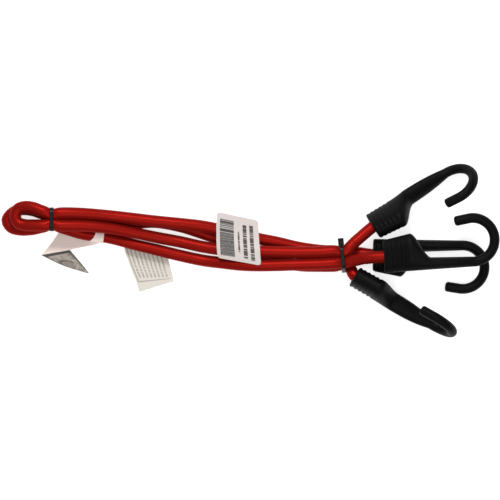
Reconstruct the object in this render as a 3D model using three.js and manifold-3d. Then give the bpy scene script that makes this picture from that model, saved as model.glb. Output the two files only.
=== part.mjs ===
// Two elastic cords with hooked ends, folded in half together and held in a flat bundle by two cable ties.
// Millimetres, +Z up. X runs along the bundle towards the hooks, Y runs across it, and it lies on z = 0.
// The origin is on that plane, under the middle of the hooks, ties and labels.
import * as THREE from "three";
import { mergeVertices } from "three/addons/utils/BufferGeometryUtils.js";
import Module from "manifold-3d";

const wasm = await Module();
wasm.setup();

const { degToRad } = THREE.MathUtils;
const UP = new THREE.Vector3(0, 0, 1);

// Gap that touching pieces keep
const FIT_GAP = 0.3;
const CUT_PAST = 1;
const WELD = 1e-4;

// Cord: a rubber core in a braided sheath
const CORD_DIAMETER = 7.2;
const SHEATH_WALL = 0.8;
const CORE_CLEARANCE = 0.3;
const STRAND_PITCH = 7.7;
const CORD_SIDES = 8;
const GAP_STEP = 0.5;
const CORD_TURN_PER_STEP = degToRad(24);
const CORD_STRAIGHT_FROM_TIE = 2.8;
const CORD_BENDS_INTO_HOOK = 1.2;
const CORD_STRAIGHT_IN_HOOK = 3.5;

// Grip of a hook, from its mouth to its shoulder
const MOUTH_WIDTH = 20.4;
const MOUTH_ROUNDING = 1.2;
const GRIP_LENGTH = 17.4;
const GRIP_WIDTH = 23.6;
const GRIP_THICKNESS = 13.5;
const GRIP_SQUARENESS = 2.5;
const RIB_COUNT = 5;
const RIB_PITCH = 3;
const RIB_DEPTH = 0.5;

// Shank and bend of a hook
const SHOULDER_LENGTH = 12.8;
const SHOULDER_STEPS = 4;
const SHANK_LENGTH = 27;
const SHANK_WIDTH = 7.6;
const SHANK_THICKNESS = 11.8;
const SHANK_TAPER_POWER = 2.5;
const ROD_DIAMETER = 6.2;
const BEND_RADIUS = 13.8;
const BEND_ANGLE = degToRad(188);
const BEND_STEPS = 9;
const TIP_LEG = 9.2;
const TIP_ROUNDING = 1.6;
const HOOK_SIDES = 12;

// Crimp on the cord's end, and the hollow in the grip that holds it
const BORE_CLEARANCE = 0.5;
const BELL_FLARE = 1.1;
const BELL_DEPTH = 3;
const BORE_LENGTH = 6;
const CRIMP_WALL = 0.8;
const CRIMP_LENGTH = 8;
const CRIMP_WAIST_DEPTH = 0.3;
const CRIMP_WAIST_LENGTH = 3.2;
const CORD_PAST_CRIMP = 1.5;
const ROUND_SIDES = 16;

// Cable ties
const TIE_WIDTH = 2.5;
const TIE_THICKNESS = 1.1;
const TIE_CLEARANCE = 0.5;
const TIE_CORNER_STEPS = 4;
const HEAD_LENGTH = 3.6;
const HEAD_DEPTH = 3.4;
const HEAD_HEIGHT = 4.6;
const HEAD_BITE = 0.4;
const HEAD_BELOW_STRAND = 1.5;

// Paper labels
const PAPER = 0.3;
const BAND_WIDTH = 5.6;
const BAND_STEPS = 16;

const CORD_RADIUS = CORD_DIAMETER / 2;
const CORE_RADIUS = CORD_RADIUS - SHEATH_WALL - CORE_CLEARANCE;
const CRIMP_INNER = CORD_RADIUS + FIT_GAP;
const CRIMP_OUTER = CRIMP_INNER + CRIMP_WALL;
const CRIMP_FROM_MOUTH = BORE_LENGTH + FIT_GAP;
const CORD_IN_HOOK = CRIMP_FROM_MOUTH + CRIMP_LENGTH + CORD_PAST_CRIMP;
const BORE_FROM_BACK = MOUTH_WIDTH / 2;
const SHOULDER_END = GRIP_LENGTH + SHOULDER_LENGTH;
const BEND_START = SHOULDER_END + SHANK_LENGTH;
const STACK_LOW = TIE_THICKNESS + TIE_CLEARANCE + CORD_RADIUS;
const STACK_HIGH = STACK_LOW + STRAND_PITCH;
// The head of the loop tie is under the strands and lifts them there
const HEAD_LIFT = HEAD_DEPTH - HEAD_BITE;
const LOOP_LOW = STACK_LOW + HEAD_LIFT;
const LOOP_HIGH = STACK_HIGH + HEAD_LIFT;

// Middle line of each cord between its two ends at the hook tie, from the lower strand round the loop
const CORD_ONE_ROUTE = [
  [44.4, -0.6, STACK_LOW], [39.5, -0.6, STACK_LOW], [33.0, -0.4, 5.0], [19.0, 1.5, 4.2], [3.8, 5.0, 3.9],
  [-11.4, 8.0, 4.8], [-26.7, 11.7, 9.0], [-41.9, 14.9, 10.6], [-57.2, 16.7, 11.3], [-72.4, 18.2, 11.4],
  [-87.6, 20.0, 11.5], [-102.9, 21.7, 12.3], [-118.1, 23.0, 14.1], [-129.5, 23.4, 15.4],
  [-138.4, 23.3, LOOP_HIGH], [-144.5, 24.8, 15.6], [-150.0, 26.8, 14.6], [-155.6, 27.4, 13.2],
  [-160.0, 25.7, 12.4], [-161.6, 21.6, 12.1], [-160.0, 17.5, 12.4], [-155.6, 15.8, 13.2],
  [-150.0, 15.5, 14.6], [-144.5, 15.5, 15.6], [-138.4, 15.6, LOOP_HIGH], [-129.5, 15.4, 15.6],
  [-118.1, 15.3, 14.1], [-102.9, 13.9, 12.0], [-87.6, 11.1, 9.5], [-72.4, 8.0, 7.4], [-57.2, 5.2, 6.6],
  [-41.9, 1.9, 8.6], [-26.7, -0.2, 11.3], [-11.4, -0.7, 11.9], [3.8, -1.2, 12.1], [19.0, -1.5, 12.3],
  [33.0, -1.2, 12.7], [39.5, -0.7, STACK_HIGH], [44.4, -0.6, STACK_HIGH],
];
const CORD_TWO_ROUTE = [
  [44.4, -10.2, STACK_LOW], [39.5, -10.2, STACK_LOW], [33.0, -10.2, 5.0], [19.0, -9.8, 4.2],
  [3.8, -6.8, 3.8], [-11.4, -1.6, 3.7], [-26.7, 4.8, 3.7], [-41.9, 10.2, 3.7], [-57.2, 15.0, 3.7],
  [-72.4, 17.6, 3.7], [-87.6, 17.1, 3.8], [-102.9, 19.2, 4.5], [-118.1, 21.6, 6.3], [-129.5, 23.0, 7.7],
  [-138.4, 23.3, LOOP_LOW], [-144.5, 23.4, 7.8], [-151.0, 25.4, 6.4], [-158.0, 25.8, 5.0],
  [-163.6, 23.6, 4.1], [-167.0, 19.0, 3.7], [-164.6, 14.6, 3.9], [-159.0, 12.9, 4.8],
  [-151.0, 13.2, 6.4], [-144.5, 14.6, 7.8], [-138.4, 15.6, LOOP_LOW], [-131.5, 14.0, 7.4],
  [-125.7, 12.2, 6.2], [-118.1, 10.1, 5.0], [-102.9, 7.8, 4.7], [-87.6, 3.7, 4.6], [-72.4, 0.2, 4.6],
  [-57.2, -3.5, 4.4], [-41.9, -6.7, 4.9], [-30.5, -8.1, 7.7], [-20.3, -9.3, 10.3], [-11.4, -9.8, 11.7],
  [3.8, -9.7, 12.1], [19.0, -9.2, 12.3], [33.0, -8.9, 12.7], [39.5, -8.5, STACK_HIGH],
  [44.4, -8.4, STACK_HIGH],
];

// Each hook: where the cord goes into its mouth, seen from above, and how it lies.
// Yaw turns its shank from +X and opens says to which side its bend opens.
// Roll lifts that side and pitch lifts the shank. A hook lies on the floor or on another.
const HOOK_POSES = {
  upper: { mouth: [65.2, 14.8], yaw: 31.8, opens: -1, roll: 51, pitch: 0 },
  top: { mouth: [71.8, -4.2], yaw: 4, opens: 1, roll: 0, pitch: -2, on: "under" },
  under: { mouth: [65.4, -3.2], yaw: -1, opens: -1, roll: 0, pitch: 0 },
  lower: { mouth: [53.6, -16.7], yaw: -30.8, opens: 1, roll: 79.5, pitch: 0 },
};

// Each free end of a cord, from the hook tie to its hook, with the points that it passes between them
const CORD_ENDS = [
  { name: "under", cord: "one", last: false, via: [[55, -1.6, 5.6]] },
  { name: "upper", cord: "one", last: true, via: [[55.2, 6.2, 11.4]] },
  {
    name: "lower",
    cord: "two",
    last: false,
    via: [[50.2, -10.9, 5.8], [51.8, -12.9, 7.6], [52.7, -15.0, 9.5]],
  },
  { name: "top", cord: "two", last: true, via: [[53, -6.8, 14.6], [62, -4.9, 18.4]] },
];

// Each cable tie: where it stands, how far its plane turns, where its strands are and where its head is
const TIE_PLACES = {
  tie_loop_end: { x: -138.4, yaw: 0, lift: HEAD_LIFT, low: [15.6, 23.3], high: [15.6, 23.3], head: "under" },
  tie_hook_end: { x: 46.0, yaw: 6, lift: 0, low: [-10.8, -0.6], high: [-8.6, -0.6], head: "side" },
};

// Price sticker laid over the two upper strands: [left end, right end] of each row
const STICKER_ROWS = [
  [[-33.4, 24.1, 12.6], [-7.6, 18.7, 5.6]],
  [[-33.8, 20.0, 13.8], [-7.4, 14.5, 6.6]],
  [[-34.0, 15.6, 14.7], [-7.2, 10.6, 7.9]],
  [[-34.0, 12.4, 15.0], [-7.0, 7.4, 9.1]],
  [[-34.0, 8.0, 14.9], [-6.7, 3.6, 13.3]],
  [[-33.9, 4.4, 15.1], [-6.4, 0.8, 16.1]],
  [[-33.7, 0.6, 15.4], [-6.2, -2.6, 16.5]],
  [[-33.5, -2.2, 15.3], [-5.9, -6.4, 16.5]],
  [[-33.3, -4.9, 14.6], [-5.7, -9.9, 16.3]],
];
const STICKER_COLUMNS = 3;

// Tag that lies on the floor from under the lowest strand
const HANGING_TAG_ROWS = [
  [[-93.3, 3.2, 0.7], [-65.2, -4.0, 0.7]],
  [[-91.5, -3.2, 0.55], [-63.7, -9.6, 0.55]],
  [[-88.6, -11.6, 0.5], [-62.4, -14.6, 0.5]],
  [[-85.4, -19.4, 0.7], [-61.6, -17.6, 0.7]],
  [[-83.2, -26.7, 1.2], [-61.4, -20.0, 1.2]],
];
const HANGING_TAG_COLUMNS = 3;

// Wrapped tag: its flag lies under the lowest strand and is creased, and its band goes round that strand
const WRAP_TAG_ROWS = [
  [[-134.8, 10.8, 0.6], [-106.4, 8.6, 0.65]],
  [[-139.8, 3.4, 0.9], [-106.0, 5.8, 0.55]],
  [[-145.7, -3.2, 2.4], [-127.3, 0.0, 1.6]],
  [[-131.6, -9.9, 1.6], [-121.2, -7.1, 1.0]],
  [[-116.0, -14.9, 0.5], [-115.2, -14.5, 0.5]],
];
const WRAP_TAG_COLUMNS = 3;
const BAND_PLACE = [-108.3, 8.69, 4.73];
const BAND_YAW = degToRad(-7.7);

const PAINT = {
  sheath: new THREE.MeshStandardMaterial({ color: "#b3140f", roughness: 0.6, metalness: 0 }),
  core: new THREE.MeshStandardMaterial({ color: "#d8cbb0", roughness: 0.85, metalness: 0 }),
  hook: new THREE.MeshStandardMaterial({ color: "#161516", roughness: 0.5, metalness: 0 }),
  crimp: new THREE.MeshStandardMaterial({ color: "#b9bcc0", roughness: 0.35, metalness: 1 }),
  tie: new THREE.MeshStandardMaterial({ color: "#1b191a", roughness: 0.45, metalness: 0 }),
  paper: new THREE.MeshStandardMaterial({ color: "#eeebe2", roughness: 0.9, metalness: 0 }),
};

function toVectors(points) {
  return points.map((p) => new THREE.Vector3(...p));
}

function geometryOf(points, triangles) {
  const geometry = new THREE.BufferGeometry().setFromPoints(points);
  geometry.setIndex(triangles.flat());
  return geometry;
}

// Skins rings of equal count, each turning right-handed about the way from ring to ring.
// A closed skin joins the last ring to the first, and an open one is capped at both ends.
function loft(rings, closed = false) {
  const sides = rings[0].length;
  const points = rings.flat();
  const triangles = [];
  const joins = closed ? rings.length : rings.length - 1;
  for (let i = 0; i < joins; i++) {
    const here = i * sides;
    const next = ((i + 1) % rings.length) * sides;
    for (let k = 0; k < sides; k++) {
      const m = (k + 1) % sides;
      triangles.push([here + k, here + m, next + m], [here + k, next + m, next + k]);
    }
  }
  if (!closed) {
    const end = (rings.length - 1) * sides;
    for (let k = 1; k < sides - 1; k++) {
      triangles.push([0, k + 1, k], [end, end + k, end + k + 1]);
    }
  }
  return geometryOf(points, triangles);
}

// Ring of a rounded section that spans across and up about its centre.
// A squareness of 2 is an ellipse.
function sectionRing(centre, across, up, halfAcross, halfUp, sides, squareness = 2) {
  const soften = (v) => Math.sign(v) * Math.abs(v) ** (2 / squareness);
  return Array.from({ length: sides }, (_, k) => {
    const angle = ((k + 0.5) / sides) * 2 * Math.PI;
    return centre
      .clone()
      .addScaledVector(across, halfAcross * soften(Math.cos(angle)))
      .addScaledVector(up, halfUp * soften(Math.sin(angle)));
  });
}

function solidOf(geometry) {
  const bare = new THREE.BufferGeometry();
  bare.setAttribute("position", geometry.getAttribute("position"));
  bare.setIndex(geometry.getIndex());
  const merged = mergeVertices(bare, WELD);
  return new wasm.Manifold(
    new wasm.Mesh({
      numProp: 3,
      vertProperties: new Float32Array(merged.getAttribute("position").array),
      triVerts: new Uint32Array(merged.getIndex().array),
    }),
  );
}

function geometryOfSolid(solid) {
  const mesh = solid.getMesh();
  const geometry = new THREE.BufferGeometry();
  geometry.setAttribute("position", new THREE.BufferAttribute(mesh.vertProperties, mesh.numProp));
  geometry.setIndex(new THREE.BufferAttribute(mesh.triVerts, 1));
  return geometry;
}

// Turns a profile of [radius, distance from the mouth] about the X axis.
function turned(profile) {
  const lathe = new THREE.LatheGeometry(
    profile.map(([radius, along]) => new THREE.Vector2(radius, along)),
    ROUND_SIDES,
  );
  return lathe.rotateZ(-Math.PI / 2);
}

// Cords

// Points of a route and the section's axes there, closer together where the route bends.
function stationsAlong(route) {
  const curve = new THREE.CatmullRomCurve3(route);
  const spans = route.length - 1;
  const stations = [];
  const add = (t) => {
    const tangent = curve.getTangent(t);
    const side = new THREE.Vector3().crossVectors(UP, tangent).normalize();
    const up = new THREE.Vector3().crossVectors(tangent, side);
    stations.push({ centre: curve.getPoint(t), tangent, side, up });
  };
  for (let i = 0; i < spans; i++) {
    const turn = curve.getTangent(i / spans).angleTo(curve.getTangent((i + 1) / spans));
    const steps = Math.max(1, Math.ceil(turn / CORD_TURN_PER_STEP));
    for (let k = 0; k < steps; k++) add((i + k / steps) / spans);
  }
  add(1);
  return stations;
}

// Least gap between the surfaces of parts of one route that are apart along it
function leastGapToItself(route) {
  const curve = new THREE.CatmullRomCurve3(route);
  const count = Math.ceil(curve.getLength() / GAP_STEP);
  const points = curve.getSpacedPoints(count);
  const apart = Math.ceil((2 * CORD_DIAMETER) / GAP_STEP);
  let least = Infinity;
  for (let i = 0; i < points.length; i++) {
    for (let k = i + apart; k < points.length; k++) least = Math.min(least, points[i].distanceTo(points[k]));
  }
  return least - CORD_DIAMETER;
}

function roundRings(stations, radius) {
  return stations.map((s) => sectionRing(s.centre, s.side, s.up, radius, radius, CORD_SIDES));
}

function sheathGeometry(stations) {
  const outer = roundRings(stations, CORD_RADIUS);
  const inner = roundRings(stations, CORD_RADIUS - SHEATH_WALL);
  return loft([...outer, ...inner.reverse()], true);
}

function coreGeometry(stations) {
  return loft(roundRings(stations, CORE_RADIUS));
}

// Hooks. A hook's own frame has X along its bore, from the mouth, and Y towards the side that it opens to.

function gripAt(along) {
  if (along <= GRIP_LENGTH) {
    const share = along / GRIP_LENGTH;
    return { width: MOUTH_WIDTH + (GRIP_WIDTH - MOUTH_WIDTH) * share, thickness: GRIP_THICKNESS };
  }
  if (along <= SHOULDER_END) {
    const share = (along - GRIP_LENGTH) / SHOULDER_LENGTH;
    const eased = share * share * (3 - 2 * share);
    return {
      width: GRIP_WIDTH + (SHANK_WIDTH - GRIP_WIDTH) * eased,
      thickness: GRIP_THICKNESS + (SHANK_THICKNESS - GRIP_THICKNESS) * eased,
    };
  }
  const share = (along - SHOULDER_END) / SHANK_LENGTH;
  return {
    width: SHANK_WIDTH + (ROD_DIAMETER - SHANK_WIDTH) * share,
    thickness: SHANK_THICKNESS + (ROD_DIAMETER - SHANK_THICKNESS) * share ** SHANK_TAPER_POWER,
  };
}

// Ring of the straight part of a hook, whose back edge is straight.
// Inset shrinks it all round, and hollow shrinks its faces.
function straightRing(along, inset, hollow) {
  const { width, thickness } = gripAt(along);
  const rodShare = THREE.MathUtils.clamp((along - GRIP_LENGTH) / (BEND_START - GRIP_LENGTH), 0, 1);
  return sectionRing(
    new THREE.Vector3(along, width / 2 - BORE_FROM_BACK, 0),
    new THREE.Vector3(0, 1, 0),
    UP,
    width / 2 - inset,
    thickness / 2 - inset - hollow,
    HOOK_SIDES,
    GRIP_SQUARENESS + (2 - GRIP_SQUARENESS) * rodShare,
  );
}

function hookRings() {
  const rings = [straightRing(0, MOUTH_ROUNDING, 0), straightRing(MOUTH_ROUNDING, 0, 0)];
  for (let i = 0; i < RIB_COUNT; i++) {
    const crest = MOUTH_ROUNDING + (i + 1) * RIB_PITCH;
    rings.push(straightRing(crest - RIB_PITCH / 2, 0, RIB_DEPTH), straightRing(crest, 0, 0));
  }
  for (let i = 0; i <= SHOULDER_STEPS; i++) {
    rings.push(straightRing(GRIP_LENGTH + (i / SHOULDER_STEPS) * SHOULDER_LENGTH, 0, 0));
  }
  rings.push(straightRing(SHOULDER_END + SHANK_LENGTH / 2, 0, 0));

  const rod = ROD_DIAMETER / 2;
  const bendCentre = new THREE.Vector3(BEND_START, BEND_RADIUS + rod - BORE_FROM_BACK, 0);
  const rodRing = (angle, past, radius) => {
    const inward = new THREE.Vector3(-Math.sin(angle), Math.cos(angle), 0);
    const forward = new THREE.Vector3(Math.cos(angle), Math.sin(angle), 0);
    const centre = bendCentre.clone().addScaledVector(inward, -BEND_RADIUS).addScaledVector(forward, past);
    return sectionRing(centre, inward, UP, radius, radius, HOOK_SIDES);
  };
  for (let i = 0; i <= BEND_STEPS; i++) rings.push(rodRing((i / BEND_STEPS) * BEND_ANGLE, 0, rod));
  rings.push(rodRing(BEND_ANGLE, TIP_LEG - TIP_ROUNDING, rod));
  rings.push(rodRing(BEND_ANGLE, TIP_LEG, rod - TIP_ROUNDING));
  return rings;
}

// The hollow that the cord and its crimp fill, flared at the mouth
function socketGeometry() {
  const bore = CORD_RADIUS + BORE_CLEARANCE;
  const cavity = CRIMP_OUTER + FIT_GAP;
  const end = CORD_IN_HOOK + FIT_GAP;
  return turned([
    [0, -CUT_PAST],
    [bore + BELL_FLARE, -CUT_PAST],
    [bore + BELL_FLARE, 0],
    [bore, BELL_DEPTH],
    [bore, BORE_LENGTH],
    [cavity, BORE_LENGTH],
    [cavity, end],
    [0, end],
  ]);
}

function hookGeometry() {
  return geometryOfSolid(solidOf(loft(hookRings())).subtract(solidOf(socketGeometry())));
}

// Ferrule with a pressed waist
function crimpGeometry() {
  const start = CRIMP_FROM_MOUTH;
  const middle = start + CRIMP_LENGTH / 2;
  const end = start + CRIMP_LENGTH;
  return turned([
    [CRIMP_INNER, start],
    [CRIMP_OUTER, start],
    [CRIMP_OUTER, middle - CRIMP_WAIST_LENGTH / 2],
    [CRIMP_OUTER - CRIMP_WAIST_DEPTH, middle],
    [CRIMP_OUTER, middle + CRIMP_WAIST_LENGTH / 2],
    [CRIMP_OUTER, end],
    [CRIMP_INNER, end],
    [CRIMP_INNER, start],
  ]);
}

// How far a hook's bore is over the lowest point of some of its rings, turned as it lies
function boreHeight(basis, rings) {
  return -Math.min(...rings.flat().map((p) => p.clone().applyMatrix4(basis).z));
}

// A hook's place: its frame, and points along its bore. The hook that another lies on lies flat itself.
function hookFrame({ mouth, yaw, opens, roll, pitch, on }) {
  const turn = degToRad(yaw);
  const lift = degToRad(roll);
  const left = new THREE.Vector3(-Math.sin(turn), Math.cos(turn), 0);
  const along = new THREE.Vector3(Math.cos(turn), Math.sin(turn), 0).applyAxisAngle(left, -degToRad(pitch));
  const over = new THREE.Vector3().crossVectors(along, left);
  const open = left.clone().multiplyScalar(opens * Math.cos(lift)).addScaledVector(over, Math.sin(lift));
  const face = new THREE.Vector3().crossVectors(along, open);
  const basis = new THREE.Matrix4().makeBasis(along, open, face);
  const rings = hookRings();
  const grip = rings.filter((ring) => ring[0].x <= GRIP_LENGTH);
  const height = on
    ? 2 * hookFrame(HOOK_POSES[on]).place.z + FIT_GAP + boreHeight(basis, grip)
    : boreHeight(basis, rings);
  const place = new THREE.Vector3(...mouth, height);
  return { place, basis, at: (distance) => place.clone().addScaledVector(along, distance) };
}

// Straps

// Closed strap round an axis. Each path point has its outward direction.
function strapLoop(path, axis, width, thickness) {
  return loft(
    path.map(({ point, outward }) =>
      [[0, -1], [0, 1], [1, 1], [1, -1]].map(([out, side]) =>
        point.clone().addScaledVector(outward, out * thickness).addScaledVector(axis, (side * width) / 2),
      ),
    ),
    true,
  );
}

// Cable tie drawn round four strands, with its head on one side or under them
function tieGeometry({ lift, low, high, head }) {
  const reach = CORD_RADIUS + TIE_CLEARANCE;
  const bottom = STACK_LOW + lift;
  const top = STACK_HIGH + lift;
  const corners = [[high[1], top], [high[0], top], [low[0], bottom], [low[1], bottom]];
  const facing = corners.map(([y, z], i) => {
    const [nextY, nextZ] = corners[(i + 1) % corners.length];
    return Math.atan2(y - nextY, nextZ - z);
  });
  const path = corners.flatMap(([y, z], i) => {
    const before = facing.at(i - 1);
    const sweep = THREE.MathUtils.euclideanModulo(facing[i] - before, 2 * Math.PI);
    return Array.from({ length: TIE_CORNER_STEPS + 1 }, (_, k) => {
      const angle = before + (sweep * k) / TIE_CORNER_STEPS;
      const outward = new THREE.Vector3(0, Math.cos(angle), Math.sin(angle));
      return { point: new THREE.Vector3(0, y, z).addScaledVector(outward, reach), outward };
    });
  });
  const strap = strapLoop(path, new THREE.Vector3(1, 0, 0), TIE_WIDTH, TIE_THICKNESS);
  const out = reach + TIE_THICKNESS - HEAD_BITE + HEAD_DEPTH / 2;
  const isUnder = head === "under";
  const size = isUnder ? [HEAD_LENGTH, HEAD_HEIGHT, HEAD_DEPTH] : [HEAD_LENGTH, HEAD_DEPTH, HEAD_HEIGHT];
  const middle = isUnder ? [(low[0] + low[1]) / 2, bottom - out] : [high[1] + out, top - HEAD_BELOW_STRAND];
  const block = new THREE.BoxGeometry(...size).translate(0, ...middle);
  return geometryOfSolid(solidOf(strap).add(solidOf(block)));
}

// Labels

// Sheet of paper over rows of points, with its thickness below them.
// Rows run from +Y to -Y, and their points from -X to +X.
function paperGeometry(rows) {
  const columns = rows[0].length;
  const top = rows.flat();
  const points = [...top, ...top.map((p) => p.clone().addScaledVector(UP, -PAPER))];
  const under = top.length;
  const triangles = [];
  const quad = (a, b, c, d) => triangles.push([a, b, c], [a, c, d]);
  for (let r = 0; r < rows.length - 1; r++) {
    for (let k = 0; k < columns - 1; k++) {
      const a = r * columns + k;
      const below = a + columns;
      quad(a, below, below + 1, a + 1);
      quad(under + a, under + a + 1, under + below + 1, under + below);
    }
  }
  const rim = [];
  for (let r = 0; r < rows.length; r++) rim.push(r * columns);
  for (let k = 1; k < columns; k++) rim.push((rows.length - 1) * columns + k);
  for (let r = rows.length - 2; r >= 0; r--) rim.push(r * columns + columns - 1);
  for (let k = columns - 2; k > 0; k--) rim.push(k);
  rim.forEach((a, i) => {
    const b = rim[(i + 1) % rim.length];
    quad(b, a, under + a, under + b);
  });
  return geometryOf(points, triangles);
}

// Row of points from one end to the other, evenly spread
function rowBetween(start, end, count) {
  const from = new THREE.Vector3(...start);
  const to = new THREE.Vector3(...end);
  return Array.from({ length: count }, (_, k) => from.clone().lerp(to, k / (count - 1)));
}

function labelGeometry(ends, columns) {
  return paperGeometry(ends.map(([left, right]) => rowBetween(left, right, columns)));
}

function bandGeometry() {
  const path = Array.from({ length: BAND_STEPS }, (_, k) => {
    const angle = (k / BAND_STEPS) * 2 * Math.PI;
    const outward = new THREE.Vector3(0, Math.cos(angle), Math.sin(angle));
    return { point: outward.clone().multiplyScalar(CORD_RADIUS + FIT_GAP), outward };
  });
  const band = strapLoop(path, new THREE.Vector3(1, 0, 0), BAND_WIDTH, PAPER);
  return band.rotateZ(BAND_YAW).translate(...BAND_PLACE);
}

// Assembly

const bundle = new THREE.Group();

function addMesh(name, geometry, material) {
  const mesh = new THREE.Mesh(geometry, material);
  mesh.name = name;
  bundle.add(mesh);
  return mesh;
}

const routes = { one: toVectors(CORD_ONE_ROUTE), two: toVectors(CORD_TWO_ROUTE) };
const runs = {};
for (const [name, route] of Object.entries(routes)) {
  runs[name] = stationsAlong(route);
  console.log(`cord ${name}: least gap to itself ${leastGapToItself(route).toFixed(2)} mm`);
  addMesh(`sheath_${name}_run`, sheathGeometry(runs[name]), PAINT.sheath);
  addMesh(`core_${name}_run`, coreGeometry(runs[name]), PAINT.core);
}

for (const { name, cord, last, via } of CORD_ENDS) {
  const frame = hookFrame(HOOK_POSES[name]);
  const from = runs[cord].at(last ? -1 : 0);
  const outward = from.tangent.clone().multiplyScalar(last ? 1 : -1);
  const start = from.centre.clone().addScaledVector(outward, FIT_GAP);
  const inside = [CORD_BENDS_INTO_HOOK, CORD_STRAIGHT_IN_HOOK, CORD_IN_HOOK / 2, CORD_IN_HOOK].map(frame.at);
  const clear = start.clone().addScaledVector(outward, CORD_STRAIGHT_FROM_TIE);
  const stations = stationsAlong([start, clear, ...toVectors(via), ...inside]);
  addMesh(`sheath_${name}_end`, sheathGeometry(stations), PAINT.sheath);
  addMesh(`core_${name}_end`, coreGeometry(stations), PAINT.core);
  for (const [kind, geometry] of [["crimp", crimpGeometry()], ["hook", hookGeometry()]]) {
    const mesh = addMesh(`${kind}_${name}`, geometry, PAINT[kind]);
    mesh.position.copy(frame.place);
    mesh.quaternion.setFromRotationMatrix(frame.basis);
  }
}

for (const [name, place] of Object.entries(TIE_PLACES)) {
  const mesh = addMesh(name, tieGeometry(place), PAINT.tie);
  const middle = (place.high[0] + place.high[1]) / 2;
  mesh.geometry.translate(0, -middle, 0);
  mesh.position.set(place.x, middle, 0);
  mesh.rotation.z = degToRad(place.yaw);
}

addMesh("price_sticker", labelGeometry(STICKER_ROWS, STICKER_COLUMNS), PAINT.paper);
addMesh("hanging_tag", labelGeometry(HANGING_TAG_ROWS, HANGING_TAG_COLUMNS), PAINT.paper);
const flag = solidOf(labelGeometry(WRAP_TAG_ROWS, WRAP_TAG_COLUMNS));
addMesh("wrap_tag", geometryOfSolid(flag.add(solidOf(bandGeometry()))), PAINT.paper);

export default bundle;
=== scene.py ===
"""Dresses a bundle of two elastic cords: braided sheaths, moulded hooks, cable ties and paper labels.

Metres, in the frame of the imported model: X along the bundle towards the hooks, Y across it, Z up.
"""
import math

import bmesh
import bpy
import numpy as np
from mathutils import Matrix, Vector


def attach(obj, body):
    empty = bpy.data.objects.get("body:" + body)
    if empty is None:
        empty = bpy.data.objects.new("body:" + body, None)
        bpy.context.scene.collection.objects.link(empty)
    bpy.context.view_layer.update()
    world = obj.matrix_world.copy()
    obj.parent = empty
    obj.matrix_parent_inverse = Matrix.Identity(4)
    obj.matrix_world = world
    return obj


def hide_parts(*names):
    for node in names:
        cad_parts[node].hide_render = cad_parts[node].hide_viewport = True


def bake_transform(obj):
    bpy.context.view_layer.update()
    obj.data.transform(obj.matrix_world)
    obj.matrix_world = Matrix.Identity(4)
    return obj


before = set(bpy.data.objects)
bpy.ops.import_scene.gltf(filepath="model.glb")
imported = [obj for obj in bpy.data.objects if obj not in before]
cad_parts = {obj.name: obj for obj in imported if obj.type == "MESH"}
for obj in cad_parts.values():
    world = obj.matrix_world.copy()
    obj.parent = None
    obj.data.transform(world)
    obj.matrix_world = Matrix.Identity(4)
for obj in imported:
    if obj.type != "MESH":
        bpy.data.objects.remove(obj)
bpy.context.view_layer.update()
UP = np.array([0.0, 0.0, 1.0])

# The photograph looks straight down, and its frame is this wide on the plane of the cords
PHOTO_WIDTH = 0.3175
PHOTO_CENTRE = (-0.0127, 0.0)
CORD_PLANE = 0.008
CAMERA_HEIGHT = 3.0
SENSOR_WIDTH = 36.0

# Stage
LIGHTS = {
    "key": {"place": (-0.15, 0.90, 1.10), "size": 0.4, "power": 11},
    "fill": {"place": (0.1, -0.35, 1.2), "size": 0.9, "power": 5},
}
SURROUND_STRENGTH = 0.40
FLOOR_HALF = 1.5

# Cords. The braid's yarns stand proud of the cord's radius, and the hollows between them are a depth below
# the tops of the yarns.
CORD_RADIUS = 0.0036
CORD_SIDES = 48
RING_STEP = 0.00036
SPLINE_STEPS = 24
LEAST_KNOT = 1e-6
BRAID_YARNS = 12
BRAID_PITCH = 0.0019
BRAID_DEPTH = 0.00024
BRAID_PROUD = 0.00020
BRAID_HEIGHT = "braid_height"
YARN_ROUNDNESS = 0.62
YARN_CROSSING = 0.38
FLOOR_CONTACT = 0.00005
FIT_GAP = 0.0003

# Lengths along a free end: straight past the tie, still in the bend, clear of the bend's end and the mouth
STRAIGHT_FROM_TIE = 0.0028
# How deep in the hook's bore the last points of a free end are
IN_HOOK = (0.0012, 0.0035, 0.0079, 0.0158)

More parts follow.
